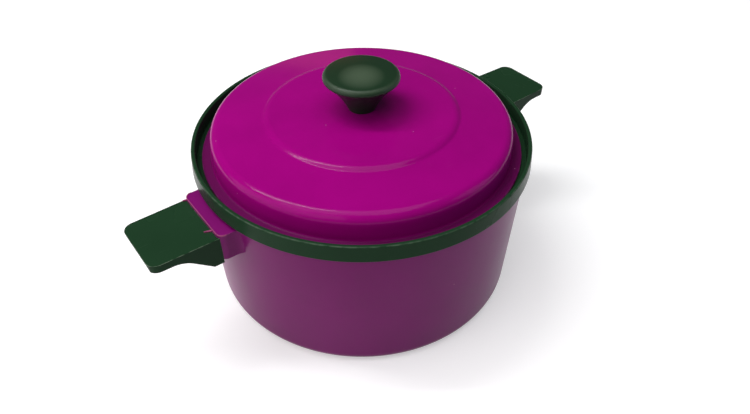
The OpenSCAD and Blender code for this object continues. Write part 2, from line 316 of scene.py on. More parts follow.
def specks(tree, coords, per_metre, radius, share):
    """Small round dots, one in some of the cells of a Voronoi pattern."""
    cells = wired(tree, "ShaderNodeTexVoronoi", {"Vector": coords, "Scale": per_metre})
    outer = radius * per_metre
    dot = ranged(tree, cells.outputs["Distance"], outer, outer * SPECK_CORE)
    chance = wired(tree, "ShaderNodeSeparateColor", {"Color": cells.outputs["Color"]}).outputs["Red"]
    return times(tree, dot, ranged(tree, chance, 1 - share, 1 - share + SPECK_STEP))


def tinted(tree, share, under, over):
    """A colour between two colours, which a Mix node takes in its inputs 6 and 7."""
    node = wired(tree, "ShaderNodeMix", {"Factor": share}, data_type="RGBA")
    feed(tree, under, node.inputs[6])
    feed(tree, over, node.inputs[7])
    return node.outputs[2]


print("patterns:", [helper.__name__ for helper in (noise, scratches, specks, tinted)])

# %% [markdown]
# ## Moulded plastic
# All the coloured pieces are injection-moulded plastic, so one function builds the finish, and each piece
# below gets it in its own colour and gloss. Raised edges are made paler and duller, partly as wear and partly
# as a painted highlight along edges that catch the light. Where they are, the mesh itself says, in an
# attribute named edge on its points or its faces, so no picture has to be painted for them.
# A painted shade, set by height, can darken a piece low down in a channel where shade falls, and makes it
# rougher there. Wear changes colour and roughness together, as on a real surface.

# %% Wear and grain
PATCH_SCALE = 420
PATCH_RANGE = (0.35, 0.65)
SCRATCH_DEPTH = -0.4
GRAIN_SCALE = 2600
GRAIN_DEPTH = 0.02 * MM


def edge_wear_and_sheen(tree, coords, patchy):
    """The wear and painted highlight that the mesh carries, broken up into patches if it is patchy."""
    worn = wired(tree, "ShaderNodeAttribute", {}, attribute_name="edge").outputs["Fac"]
    if patchy:
        patches = ranged(tree, noise(tree, coords, PATCH_SCALE, detail=2.0), *PATCH_RANGE)
        worn = times(tree, worn, patches)
    return worn


def fine_grain(tree, coords, scratch, strength):
    """A normal that carries the mould's grain and the scratches."""
    grain = noise(tree, coords, GRAIN_SCALE, detail=2.0)
    height = plus(tree, grain, times(tree, scratch, SCRATCH_DEPTH))
    wires = {"Height": height, "Strength": strength, "Distance": GRAIN_DEPTH}
    return wired(tree, "ShaderNodeBump", wires).outputs["Normal"]


patch_mm, grain_mm = (round(1 / scale / MM, 1) for scale in (PATCH_SCALE, GRAIN_SCALE))
print("wear in patches of about", patch_mm, "mm, grain of about", grain_mm, "mm")

# %% Moulded plastic
CLOUD_SCALE = 55
CLOUD_RANGE = (0.3, 0.7)
CLOUD_DARK = 0.9
CLOUD_ROUGH = 0.04
SCRATCH_PALE = 0.015
SCRATCH_ROUGH = 0.03
DUST_PER_METRE = 190.0
DUST_R = 0.25 * MM
DUST_SHARE = 0.15
DUST_PALE = 0.5
# Painted shade: the dark colour that stands in for the shade in the lid's channel, and the roughness added
# there.
CHANNEL_SHADE = (0.040, 0.002, 0.032, 1)
CHANNEL_SHADE_ROUGH = 0.5


def moulded_plastic(name, colour, pale, roughness, gloss, grain, rub_and_sheen, patchy=True, painted_shade=None):
    """Plastic in a colour; painted_shade, if given, is the height where a painted darkening for the shade in
    a channel starts and is full, and its share.
    """
    finish, tree, coords = new_finish(name)
    shader = tree.nodes["Principled BSDF"].inputs
    shader["Specular IOR Level"].default_value = gloss
    cloudy = ranged(tree, noise(tree, coords, CLOUD_SCALE, detail=3.0), *CLOUD_RANGE)
    scratch = scratches(tree, coords)
    dust = specks(tree, coords, DUST_PER_METRE, DUST_R, DUST_SHARE)
    # Paler edges: partly wear, partly painted highlight.
    rubbed_and_sheen = times(tree, edge_wear_and_sheen(tree, coords, patchy), rub_and_sheen)
    darker = tuple(CLOUD_DARK * c for c in colour[:3]) + (1,)
    body = tinted(tree, cloudy, darker, colour)
    worn = plus(tree, times(tree, scratch, SCRATCH_ROUGH), times(tree, cloudy, CLOUD_ROUGH))
    worn = plus(tree, worn, rubbed_and_sheen)
    # Painted shade: darker and rougher below a height, for the shade low in a channel.
    if painted_shade:
        height = wired(tree, "ShaderNodeSeparateXYZ", {"Vector": coords}).outputs["Z"]
        shade_mask = ranged(tree, height, painted_shade[0], painted_shade[1], 0.0, painted_shade[2])
        body = tinted(tree, shade_mask, body, CHANNEL_SHADE)
        worn = plus(tree, worn, times(tree, shade_mask, CHANNEL_SHADE_ROUGH))
    body = tinted(tree, rubbed_and_sheen, body, pale)
    body = tinted(tree, times(tree, scratch, SCRATCH_PALE), body, pale)
    body = tinted(tree, times(tree, dust, DUST_PALE), body, pale)
    feed(tree, body, shader["Base Color"])
    feed(tree, ranged(tree, worn, 0.0, 1.0, roughness, roughness + 1.0), shader["Roughness"])
    feed(tree, fine_grain(tree, coords, scratch, grain), shader["Normal"])
    return finish


print("plastic: clouds of about", round(1 / CLOUD_SCALE / MM), "mm, specks of", 2 * DUST_R / MM, "mm")

# %% [markdown]
# ## Outlines of turned pieces
# Pot, ring, lid, knob and screws are round, so each is drawn as half of its section. Most are written as a
# few corners, each with the rounding that its mould gives it, and one function puts the arcs in. A Bevel
# modifier could round the finished mesh, but here each corner has its own radius, and each point of the
# outline can carry its paleness, partly wear and partly painted highlight: most in the middle of a small
# outer rounding, none on the flats and in hollows. A narrow margin beside each arc keeps the shading of the
# flats flat.

# %% Section outlines
ARC_STEP = math.radians(7.5)
ARC_STEPS_MIN = 4
MARGIN = 0.25
MARKED_ROUNDING = 1.0


def section(corners, closed=True):
    """Points (radius, height, wear and painted highlight) along corners (radius, height, rounding[, share of
    it]), in mm.
    """
    spots = [Vector(c[:2]) for c in corners]
    count = len(spots)
    area = sum(a.x * b.y - b.x * a.y for a, b in zip(spots, spots[1:] + spots[:1]))
    sides = [spots[(i + 1) % count] - spots[i] for i in range(count)]
    halves = [(-sides[i - 1]).angle(sides[i]) / 2 for i in range(count)]
    reach = [corner[2] / math.tan(half) for corner, half in zip(corners, halves)]
    room = [sides[i].length - reach[i] - reach[(i + 1) % count] for i in range(count)]
    if min(room) < 0:
        raise ValueError(f"a rounding is {-min(room):.3f} mm too large for its side")
    margin = [min(MARGIN, straight / 3) for straight in room]
    points = []
    for i, (here, corner) in enumerate(zip(spots, corners)):
        rounding = corner[2]
        if rounding == 0:
            points.append((here.x, here.y, 0.0))
            continue
        back = -sides[i - 1].normalized()
        on = sides[i].normalized()
        turn = math.copysign(math.pi - 2 * halves[i], back.cross(on) * -1)
        centre = here + (back + on).normalized() * (rounding / math.sin(halves[i]))
        start = here + back * reach[i]
        share = corner[3] if len(corner) > 3 else 1.0
        # Small outer roundings get a value that is partly wear and partly painted highlight.
        worn = share if turn * area > 0 and rounding <= MARKED_ROUNDING else 0.0
        steps = max(ARC_STEPS_MIN, math.ceil(abs(turn) / ARC_STEP))
        points.append((*(start + back * margin[i - 1]), 0.0))
        for k in range(steps + 1):
            spoke = Matrix.Rotation(turn * k / steps, 2) @ (start - centre)
            points.append((*(centre + spoke), worn * math.sin(math.pi * k / steps) ** 2))
        points.append((*(here + on * (reach[i] + margin[i])), 0.0))
    if closed:
        points.append(points[0])
    return points


square = section([(1, 0, 0.2), (2, 0, 0.2), (2, 1, 0.2), (1, 1, 0.2)])
print("a square with round corners has", len(square), "points")

# %% [markdown]
# ## The tree that turns a section
# A Screw modifier or the Spin tool could sweep a section round the axis. A Geometry Nodes tree does the same
# in steps that can be read, and says plainly where the wear and painted highlight of each point goes. It lays
# a grid with one column for each point of the section, carries every grid point to its point of the section,
# turns it by its step round the axis and merges the seam. The wear and painted highlight go the same way,
# into the attribute edge of the finished mesh.

# %% Start and end of a tree


def new_tree(name, inputs):
    """An empty Geometry Nodes tree with named inputs and one output, Result."""
    tree = bpy.data.node_groups.new(name, "GeometryNodeTree")
    for socket, kind in inputs.items():
        tree.interface.new_socket(socket, in_out="INPUT", socket_type="NodeSocket" + kind)
    tree.interface.new_socket("Result", in_out="OUTPUT", socket_type="NodeSocketGeometry")
    return tree


def end_tree(tree, shape, finish):
    """The end of a tree: copies become real faces, and the finish is set."""
    real = wired(tree, "GeometryNodeRealizeInstances", {"Geometry": shape})
    paint = wired(tree, "GeometryNodeSetMaterial", {"Geometry": real.outputs[0], "Material": finish})
    wired(tree, "NodeGroupOutput", {"Result": paint.outputs[0]})


print("tree helpers:", [helper.__name__ for helper in (new_tree, end_tree)])

# %% The tree that turns a section


def turned_tree():
    """A tree that takes the section's points and gives the round piece."""
    inputs = {"Section": "Geometry", "Steps": "Int", "Seam": "Float", "Finish": "Material"}
    tree = new_tree("turned_piece", inputs)
    given = tree.nodes.new("NodeGroupInput").outputs
    size = wired(tree, "GeometryNodeAttributeDomainSize", {"Geometry": given["Section"]})
    rows = plus(tree, given["Steps"], 1)
    wires = {"Vertices X": size.outputs["Point Count"], "Vertices Y": rows}
    grid = wired(tree, "GeometryNodeMeshGrid", wires)
    index = tree.nodes.new("GeometryNodeInputIndex").outputs[0]
    column = worked_out(tree, "FLOOR", worked_out(tree, "DIVIDE", plus(tree, index, 0.5), rows), 0)
    row = worked_out(tree, "FLOORED_MODULO", index, rows)
    angle = worked_out(tree, "DIVIDE", times(tree, row, 2 * math.pi), given["Steps"])

    def sampled(value, kind):
        """A value of the section's points, read at the grid point's column."""
        wires = {"Geometry": given["Section"], "Value": value, "Index": column}
        return wired(tree, "GeometryNodeSampleIndex", wires, data_type=kind).outputs["Value"]

    spot = sampled(tree.nodes.new("GeometryNodeInputPosition").outputs[0], "FLOAT_VECTOR")
    turn = wired(tree, "ShaderNodeVectorRotate", {"Vector": spot, "Angle": angle}, rotation_type="Z_AXIS")
    wires = {"Geometry": grid.outputs["Mesh"], "Position": turn.outputs["Vector"]}
    place = wired(tree, "GeometryNodeSetPosition", wires)
    wear = wired(tree, "GeometryNodeInputNamedAttribute", {"Name": "edge"}, data_type="FLOAT")
    wear = sampled(wear.outputs["Attribute"], "FLOAT")
    wires = {"Geometry": place.outputs[0], "Name": "edge", "Value": wear}
    store = wired(tree, "GeometryNodeStoreNamedAttribute", wires, data_type="FLOAT", domain="POINT")
    wires = {"Geometry": store.outputs[0], "Distance": given["Seam"]}
    merge = wired(tree, "GeometryNodeMergeByDistance", wires)
    smooth = wired(tree, "GeometryNodeSetShadeSmooth", {"Geometry": merge.outputs[0]})
    end_tree(tree, smooth.outputs[0], given["Finish"])
    return tree


TURNED = turned_tree()
print("tree:", TURNED.name, [item.name for item in TURNED.interface.items_tree])

# %% [markdown]
# ## From section to piece
# The tree works as a modifier on a mesh that holds nothing but the section's points. Its inputs are set
# before Blender first works it out, by the identifier of each socket, which is what the modifier goes by.
# The result is then taken out as a plain mesh, so that no modifier is left on the piece. Its faces are made
# to point outwards, and its open edges are counted: a closed moulding has none.

# %% Plain meshes


def open_edges(work):
    """Number of a bmesh's edges that don't have exactly two faces."""
    return sum(1 for edge in work.edges if not edge.is_manifold)


def outward(mesh):
    """Makes all faces of a closed mesh point outwards, and gives the number of its open edges."""
    work = bmesh.new()
    work.from_mesh(mesh)
    bmesh.ops.recalc_face_normals(work, faces=work.faces)
    loose = open_edges(work)
    work.to_mesh(mesh)
    work.free()
    return loose


def plain(holder, name):
    """The evaluated object as a plain mesh object of that name, with no modifier left."""
    graph = bpy.context.evaluated_depsgraph_get()
    mesh = bpy.data.meshes.new_from_object(holder.evaluated_get(graph))
    bpy.data.objects.remove(holder)
    mesh.name = name
    return placed(name, mesh)


def grown(holder, tree, values, name):
    """What a Geometry Nodes tree makes of an object, as a plain mesh object of that name."""
    modifier = holder.modifiers.new(tree.name, "NODES")
    modifier.node_group = tree
    for socket in tree.interface.items_tree:
        if socket.in_out == "INPUT" and socket.name in values:
            modifier[socket.identifier] = values[socket.name]
    return plain(holder, name)


print("mesh helpers:", [helper.__name__ for helper in (open_edges, outward, plain, grown)])

# %% Turned pieces
STEPS_ROUND = 240
SEAM = 0.0005 * MM


def turned(name, points, finish):
    """A round piece from the points of its section."""
    mesh = bpy.data.meshes.new(name + "_section")
    mesh.from_pydata([(r * MM, 0, z * MM) for r, z, worn in points], [], [])
    edge = mesh.attributes.new("edge", "FLOAT", "POINT")
    edge.data.foreach_set("value", [worn for r, z, worn in points])
    holder = placed(name + "_section", mesh)
    piece = grown(holder, TURNED, {"Steps": STEPS_ROUND, "Seam": SEAM, "Finish": finish}, name)
    loose = outward(piece.data)
    print(name, len(piece.data.polygons), "faces,", loose, "open edges")
    return piece


print("turned pieces have", STEPS_ROUND, "steps round the axis")

# %% [markdown]
# ## The lid
# The lid is one shell about 1.5 mm thick. From the rim inwards it has a rounded flange that lies on the
# ring's ledge, a hollow round up to a low side wall, a rounded edge, a shallow crown and a soft step up to a
# raised round centre, where the knob sits. A short skirt under the flange keeps it in place. Rings of a
# cylinder could be pulled into that form by hand, but a section shows all of it in sixteen corners. The
# plastic is magenta and half glossy. The narrow channel round the foot of the side wall is painted darker, as
# painted shade.

# %% Lid sizes
lid_low, lid_high = (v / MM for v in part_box("lid"))
FLANGE_R = lid_high.x
SKIRT_LOW = lid_low.z
SKIRT_H = 3.0
SKIRT_R = 53.5
SKIRT_EDGE = 0.35
FLANGE_Z = SKIRT_LOW + SKIRT_H
FLANGE_T = 0.9
FLANGE_TOP = FLANGE_Z + FLANGE_T
# Just under half of the thickness, so that the flange's two roundings make a full round.
FLANGE_EDGE = FLANGE_T * 0.49
FLANGE_CORNER = 0.25
LID_T = 1.5
LID_TOP_R = 53.1
LID_EDGE_R = 3.6
COVE_R = 0.8
STEP_R = 34.5
STEP_W = 3.3
STEP_H = 1.0
STEP_TOP_R = 4.0
STEP_FOOT_R = 2.0
CENTRE_Z = lid_high.z
DISC_Z = CENTRE_Z - 0.7
STEP_Z = DISC_Z - STEP_H
LID_EDGE_Z = STEP_Z - 1.9
PEG_HOLE = 2.5
PEG_HOLE_EDGE = 0.2
SEAT_R = 5.9
SEAT_ROUND = 4.0
UNDER_STEP_FOOT = 1.0
UNDER_STEP_TOP = 3.0
UNDER_SEAT = 2.0
print("lid:", round(2 * FLANGE_R, 1), "mm across,", round(CENTRE_Z - SKIRT_LOW, 1), "mm high")

# %% Lid section


def lid_section():
    """Half section of the lid, from the knob's hole outwards over the top and back underneath."""
    crown_slope = (STEP_Z - LID_EDGE_Z) / (LID_TOP_R - LID_EDGE_R - STEP_R)
    edge_corner_z = STEP_Z - crown_slope * (LID_TOP_R - STEP_R)
    step_round = (STEP_W ** 2 + STEP_H ** 2) / (2 * STEP_H)
    step_turn = math.asin(STEP_W / step_round)
    step_corner = STEP_R - STEP_W + step_round * math.tan(step_turn / 2)
    return section([
        (PEG_HOLE, CENTRE_Z, PEG_HOLE_EDGE),
        (SEAT_R, CENTRE_Z, SEAT_ROUND),
        (step_corner, DISC_Z, STEP_TOP_R),
        (STEP_R, STEP_Z, STEP_FOOT_R),
        (LID_TOP_R, edge_corner_z, LID_EDGE_R),
        (SKIRT_R, FLANGE_TOP, COVE_R),
        (FLANGE_R, FLANGE_TOP, FLANGE_EDGE),
        (FLANGE_R, FLANGE_Z, FLANGE_EDGE),
        (SKIRT_R, FLANGE_Z, FLANGE_CORNER),
        (SKIRT_R, SKIRT_LOW, SKIRT_EDGE),
        (SKIRT_R - LID_T, SKIRT_LOW, SKIRT_EDGE),
        (LID_TOP_R - LID_T, edge_corner_z - LID_T, LID_EDGE_R - LID_T),
        (STEP_R, STEP_Z - LID_T, UNDER_STEP_FOOT),
        (STEP_R - STEP_W, DISC_Z - LID_T, UNDER_STEP_TOP),
        (SEAT_R, CENTRE_Z - LID_T, UNDER_SEAT),
        (PEG_HOLE, CENTRE_Z - LID_T, PEG_HOLE_EDGE),
    ])


print("lid section:", len(lid_section()), "points")

# %% Lid
# Painted shade: the heights where the darkening of the channel starts and is full, and how dark it gets.
SHADE_START = FLANGE_TOP + 0.7
SHADE_FULL = FLANGE_TOP - 0.1
SHADE_SHARE = 0.80
magenta = moulded_plastic(
    "lid_magenta", colour=(0.292, 0.001, 0.166, 1), pale=(0.75, 0.30, 0.55, 1),
    roughness=0.12, gloss=0.08, grain=0.08, rub_and_sheen=0.10,
    painted_shade=(SHADE_START * MM, SHADE_FULL * MM, SHADE_SHARE))
lid = turned("stepped_lid", lid_section(), magenta)
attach(lid, "lid_assembly")
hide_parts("lid")

# %% [markdown]
# ## The knob
# A mushroom knob: a low crown with a broad rounded rim, on a stem that flares all the way from its foot. A
# peg under the stem goes through the lid, and a screw from below holds it. Corners with roundings would suit
# it badly, so its section is a chain of arcs that run into each other, and it starts at the blind screw hole.
# The green is paler on the rim, partly wear and partly a painted highlight, and in a spot on one side of the
# crown, which is a painted sheen. The spot isn't round the axis, so it is set on the finished mesh.

# %% Arcs


def arc(centre, radius, first, last, steps):
    """Points along an arc between two angles in degrees."""
    angles = [math.radians(first + (last - first) * k / steps) for k in range(steps + 1)]
    return [(centre[0] + radius * math.cos(a), centre[1] + radius * math.sin(a)) for a in angles]


def hollowed(start, stop, sag, steps):
    """Points from start to stop, hollowed to the left of the straight line by sag."""
    run = Vector(stop) - Vector(start)
    radius = run.length_squared / (8 * sag) + sag / 2
    right = Vector((run.y, -run.x)).normalized()
    centre = (Vector(start) + Vector(stop)) / 2 + right * (radius - sag)
    middle = math.degrees(math.atan2(-right.y, -right.x))
    half = math.degrees(math.asin(run.length / (2 * radius)))
    return arc(centre, radius, middle + half, middle - half, steps)


print("a quarter round in 6 steps has", len(arc((0, 0), 1, 0, 90, steps=6)), "points")

# %% Knob section
knob_low, knob_high = (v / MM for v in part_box("knob"))
KNOB_R = knob_high.x
KNOB_ROUND = 1.7
KNOB_EDGE = 0.5
KNOB_SLOPE = 7.0
KNOB_UNDERCUT = 45.0
STEM_R = 4.9
STEM_FOOT = 0.3
STEM_LEAN = 20.0
FLARE_SAG = 0.8
PEG_R = 2.4
SCREW_HOLE = 1.5
SCREW_DEPTH = 9.1
# Wear and painted highlight: how much paler the rim's rounding is.
RIM_WEAR_AND_SHEEN = 0.55


def knob_section():
    """Half section of the knob, from the screw's blind hole round the outside to the top."""
    cap_r = KNOB_R - KNOB_ROUND
    slope = math.radians(KNOB_SLOPE)
    crown_r = cap_r / math.sin(slope) + KNOB_ROUND
    crown_z = knob_high.z - crown_r
    cap_z = crown_z + cap_r / math.tan(slope)
    hole_top = CENTRE_Z - LID_T + SCREW_DEPTH
    points = [(0, hole_top), (SCREW_HOLE, hole_top), (SCREW_HOLE, knob_low.z)]
    points += [(PEG_R, knob_low.z), (PEG_R, CENTRE_Z)]
    foot = arc((STEM_R - STEM_FOOT, CENTRE_Z + STEM_FOOT), STEM_FOOT, -90, -STEM_LEAN, steps=4)
    low_edge = arc((KNOB_R - KNOB_EDGE, cap_z), KNOB_EDGE, -KNOB_UNDERCUT, 0, steps=6)
    points += foot + hollowed(foot[-1], low_edge[0], FLARE_SAG, steps=20)[1:-1] + low_edge
    rim = arc((cap_r, cap_z), KNOB_ROUND, 0, 90 - KNOB_SLOPE, steps=14)[1:]
    crown = arc((0, crown_z), crown_r, 90 - KNOB_SLOPE, 90, steps=24)[1:]
    rubbed_and_sheen = [RIM_WEAR_AND_SHEEN * math.sin(math.pi * k / len(rim)) ** 2 for k in range(len(rim))]
    wear = [0.0] * len(points) + rubbed_and_sheen + [0.0] * len(crown)
    return [(r, z, worn) for (r, z), worn in zip(points + rim + crown, wear)]


print("knob section:", len(knob_section()), "points")

# %% Knob
# Painted sheen: a pale spot on the crown, off-centre towards the camera's side, where a soft highlight shows.
SHEEN_AT = Vector((-1.9, -2.6))
SHEEN_R = 8.0


def paint_crown_sheen(piece):
    """Paints a round pale spot of sheen on the knob's crown, most in its middle."""
    crown_low = knob_high.z - KNOB_ROUND
    for vertex, edge in zip(piece.data.vertices, piece.data.attributes["edge"].data):
        if vertex.co.z / MM > crown_low:
            gap = (vertex.co.xy / MM - SHEEN_AT).length / SHEEN_R
            edge.value = max(edge.value, 1 - gap ** 2)


# The knob's green: paler on the rim as wear and painted highlight, and in a painted sheen on the crown.
sheen_and_wear_green = moulded_plastic(
    "sheen_and_wear_green", colour=(0.009, 0.029, 0.012, 1), pale=(0.15, 0.21, 0.13, 1),
    roughness=0.30, gloss=0.24, grain=0.10, rub_and_sheen=0.24, patchy=False)
knob = turned("mushroom_knob", knob_section(), sheen_and_wear_green)
paint_crown_sheen(knob)
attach(knob, "lid_assembly")
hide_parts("knob")

# %% [markdown]
# ## The rim ring
# A dark green collar snaps into the pot's mouth. Its upstand stands 5 mm above a flat ledge, which carries
# the lid, and a short spigot below holds it inside the pot. It could be cut from a cylinder, but as a turned
# section it takes ten corners. The upstand's top is thin and round: outside it is a little paler all the way
# round, partly wear and partly a painted highlight, and inside, next to the lid, it isn't.

# %% Rim ring
ring_low, ring_high = (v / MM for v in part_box("rim_ring"))
RING_LOW_R = ring_high.x
RING_TOP_R = RING_LOW_R - 0.5
RING_TOP = ring_high.z
RING_EDGE = 0.3
POT_TOP = RING_TOP - 5.8
LIP_T = 1.4
LIP_R = RING_TOP_R - LIP_T
LIP_ROUND = 0.5
# Wear and painted highlight on the lip's outer rounding; none on its inner one.
LIP_WEAR_AND_SHEEN = 0.6
LIP_INSIDE_PLAIN = 0.0
LEDGE_TOP = POT_TOP + 0.8
LEDGE_LOW = LEDGE_TOP - 1.3
LEDGE_IN = 54.0
LEDGE_CORNER = 0.4
SPIGOT_T = 1.4
SPIGOT_R = 57.35
SPIGOT_IN = SPIGOT_R - SPIGOT_T
SPIGOT_LEAN = 0.037
SPIGOT_CORNER = 0.2
COLLAR_CORNER = 0.15


def ring_section():
    """Half section of the ring: upstand, ledge and spigot."""
    drawn_in = SPIGOT_LEAN * (POT_TOP - ring_low.z)
    return section([
        (RING_LOW_R, POT_TOP, RING_EDGE),
        (RING_TOP_R, RING_TOP, LIP_ROUND, LIP_WEAR_AND_SHEEN),
        (LIP_R, RING_TOP, LIP_ROUND, LIP_INSIDE_PLAIN),
        (LIP_R, LEDGE_TOP, LEDGE_CORNER),
        (LEDGE_IN, LEDGE_TOP, RING_EDGE),
        (LEDGE_IN, LEDGE_LOW, RING_EDGE),
        (SPIGOT_IN, LEDGE_LOW, SPIGOT_CORNER),
        (SPIGOT_IN, ring_low.z, RING_EDGE),
        (SPIGOT_R - drawn_in, ring_low.z, RING_EDGE),
        (SPIGOT_R, POT_TOP, COLLAR_CORNER),
    ])


green = moulded_plastic(
    "dark_green", colour=(0.012, 0.039, 0.017, 1), pale=(0.20, 0.27, 0.19, 1),
    roughness=0.24, gloss=0.05, grain=0.10, rub_and_sheen=0.40)
ring = turned("rim_collar", ring_section(), green)
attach(ring, "pot_assembly")
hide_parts("rim_ring")

# %% [markdown]
# ## Solids that are joined and cut
# The sockets and handles are moulded in shapes that no single sweep makes. They could be modelled by hand,
# face by face, but each is easier to read as a few plain solids: a flat outline is raised to a block, and
# blocks are joined, cut or kept where they meet by Boolean modifiers. The exact solver is used, because
# many of the faces lie close together.

# %% Blocks and Booleans


def block(name, outline, low, high, turn=None):
    """A solid between two heights over a flat outline of (x, y) corners, in millimetres."""
    count = len(outline)
    mesh = bpy.data.meshes.new(name)
    spots = [(x * MM, y * MM, z * MM) for z in (low, high) for x, y in outline]
    sides = [(i, (i + 1) % count, count + (i + 1) % count, count + i) for i in range(count)]
    mesh.from_pydata(spots, [], sides + [tuple(range(count)), tuple(range(count, 2 * count))])
    if turn:
        mesh.transform(turn)
    outward(mesh)
    return placed(name, mesh)


def bar(name, start, stop, half_y, low, high):
    """A straight bar along X with square corners."""
    return block(name, [(start, -half_y), (stop, -half_y), (stop, half_y), (start, half_y)], low, high)


def combined(piece, others, operation):
    """The piece after a Boolean with each of the others, which are used up."""
    for other in others:
        modifier = piece.modifiers.new("combine", "BOOLEAN")
        modifier.operation = operation
        modifier.solver = "EXACT"
        modifier.object = other
    result = plain(piece, piece.name)
    for other in others:
        bpy.data.objects.remove(other)
    return result


print("solid helpers:", [helper.__name__ for helper in (block, bar, combined)])

# %% [markdown]
# ## Soft edges
# A moulding has no sharp edges, so a bevel gives the outer edges a small rounding. Edges could be picked one
# by one, but a bevel by angle finds them itself. It comes before pockets and holes are cut, which stay crisp.
# At the end each piece gets even normals, so that flat sides look flat, and its pale edges, partly wear and
# partly painted highlight: the narrow strips that a bevel leaves on an outer edge are found by their width
# and their bend, and marked face by face in the attribute edge.

# %% Soft edges
SHARP = math.radians(38)
BEVEL_SEGMENTS = 3


def softened(piece, width):
    """The piece with its sharp edges rounded by a width in millimetres."""
    modifier = piece.modifiers.new("soft", "BEVEL")
    modifier.width = width * MM
    modifier.segments = BEVEL_SEGMENTS
    modifier.limit_method = "ANGLE"
    modifier.angle_limit = SHARP
    return plain(piece, piece.name)


print("edges sharper than", round(math.degrees(SHARP)), "degrees are rounded")

# %% Worn edges and even normals
STRIP = 0.33
STRIP_BEND = 0.3
# Over 1, so that these narrow strips show as well as the edges of the turned pieces. Their paleness is partly
# wear and partly painted highlight.
EDGE_WEAR_AND_SHEEN = 3.2


def mark_wear_and_sheen(work):
    """Marks the narrow, bent faces of a bmesh for wear and painted highlight, and gives their number."""
    turned_marks = work.verts.layers.float.get("edge")
    if turned_marks:
        work.verts.layers.float.remove(turned_marks)
    layer = work.faces.layers.float.new("edge")
    strips = 0
    for face in work.faces:
        width = face.calc_area() / max(e.calc_length() for e in face.edges)
        bend = max(e.calc_face_angle_signed(0.0) for e in face.edges)
        if width < STRIP * MM and bend > STRIP_BEND:
            face[layer] = EDGE_WEAR_AND_SHEEN
            strips += 1
    return strips


def finished(piece, name, finish):
    """The piece under its final name, in its finish, with even normals and its outer edges marked for wear
    and painted highlight.
    """
    mesh = piece.data
    work = bmesh.new()
    work.from_mesh(mesh)
    bmesh.ops.remove_doubles(work, verts=work.verts, dist=SEAM)
    bmesh.ops.dissolve_degenerate(work, edges=work.edges, dist=SEAM)
    strips = mark_wear_and_sheen(work)
    loose = open_edges(work)
    work.to_mesh(mesh)
    work.free()
    mesh.shade_smooth()
    mesh.set_sharp_from_angle(angle=SHARP)
    mesh.materials.clear()
    mesh.materials.append(finish)
    mesh.polygons.foreach_set("material_index", [0] * len(mesh.polygons))
    even = piece.modifiers.new("even", "WEIGHTED_NORMAL")
    even.keep_sharp = True
    result = plain(piece, name)
    print(name, len(result.data.polygons), "faces,", strips, "rubbed,", loose, "open edges")
    return result


print("outer strips under", STRIP, "mm wide count as rubbed")

# %% [markdown]
# ## Copies round the axis
# The pot has two sockets, two pockets, two screw pads and two screws, each opposite the other. Copying by
# hand would fix their number. A second small Geometry Nodes tree sets a piece a number of times round the
# axis: one copy on each point of a line whose points all lie at the origin, turned by its share of a full
# turn.

# %% Copies round the axis


def round_tree():
    """A tree that copies a piece a number of times round the axis."""
    tree = new_tree("round_the_axis", {"Piece": "Geometry", "Count": "Int", "Finish": "Material"})
    given = tree.nodes.new("NodeGroupInput").outputs
    line = wired(tree, "GeometryNodeMeshLine", {"Count": given["Count"], "Offset": (0, 0, 0)})
    index = tree.nodes.new("GeometryNodeInputIndex").outputs[0]
    angle = times(tree, worked_out(tree, "DIVIDE", index, given["Count"]), 2 * math.pi)
    turn = wired(tree, "ShaderNodeCombineXYZ", {"Z": angle})
    wires = {"Points": line.outputs["Mesh"], "Instance": given["Piece"], "Rotation": turn.outputs["Vector"]}
    copies = wired(tree, "GeometryNodeInstanceOnPoints", wires)
    end_tree(tree, copies.outputs["Instances"], given["Finish"])
    return tree


ROUND = round_tree()


def twice(piece, finish):
    """The piece and its copy on the opposite side of the pot, as one mesh."""
    return grown(piece, ROUND, {"Count": 2, "Finish": finish}, piece.name)


print("tree:", ROUND.name, [item.name for item in ROUND.interface.items_tree])

# %% [markdown]
# ## The sockets' outline
# Each handle plugs into a socket on the pot's wall. Seen from above, the socket is a block with round outer
# corners, and its sides run into the wall in a hollow round. A bevel along the seam could make that round,
# but an outline of arcs that touch each other keeps its size. Grown by a hair's breadth, the same outline
# later cuts the handle's root, so that the two fit together.

# %% Socket outline
pot_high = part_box("pot_body")[1] / MM
WALL_T = 1.6
WALL_LEAN = 2.0 / pot_high.z
POT_RIM_R = 59.0
SOCKET_FACE = pot_high.x
SOCKET_TOP = pot_high.z - 1.3
SOCKET_LOW = SOCKET_TOP - 10.4
SOCKET_HALF = 12.8
SOCKET_ROUND = 2.5
SOCKET_FILLET = 4.0
PRESS_GAP = 0.05
OUTLINE_STEPS = 10


def wall_r(z):
    """Outside radius of the pot's wall at a height."""
    return POT_RIM_R - WALL_LEAN * (pot_high.z - z)


def mirrored(half):
    """A closed outline from the half of it that has positive y."""
    return [(x, -y) for x, y in reversed(half)] + half


def socket_outline(gap):
    """The socket seen from above, grown by a gap; its back stays inside the thickness of the wall."""
    dip = wall_r(SOCKET_LOW) - WALL_T / 4
    fillet_y = SOCKET_HALF + SOCKET_FILLET
    fillet_c = (math.sqrt((dip + SOCKET_FILLET) ** 2 - fillet_y ** 2), fillet_y)
    turn = math.degrees(math.atan2(fillet_c[1], fillet_c[0]))
    corner = (SOCKET_FACE - SOCKET_ROUND, SOCKET_HALF - SOCKET_ROUND)
    back_r = wall_r(SOCKET_LOW) - WALL_T / 2
    half = arc(corner, SOCKET_ROUND + gap, 0, 90, OUTLINE_STEPS)
    half += arc(fillet_c, SOCKET_FILLET - gap, 270, 180 + turn, OUTLINE_STEPS)
    half += arc((0, 0), back_r, turn, 0, OUTLINE_STEPS)[:-1]
    return mirrored(half)


print("socket outline:", len(socket_outline(0)), "points, face at", round(SOCKET_FACE, 2), "mm")

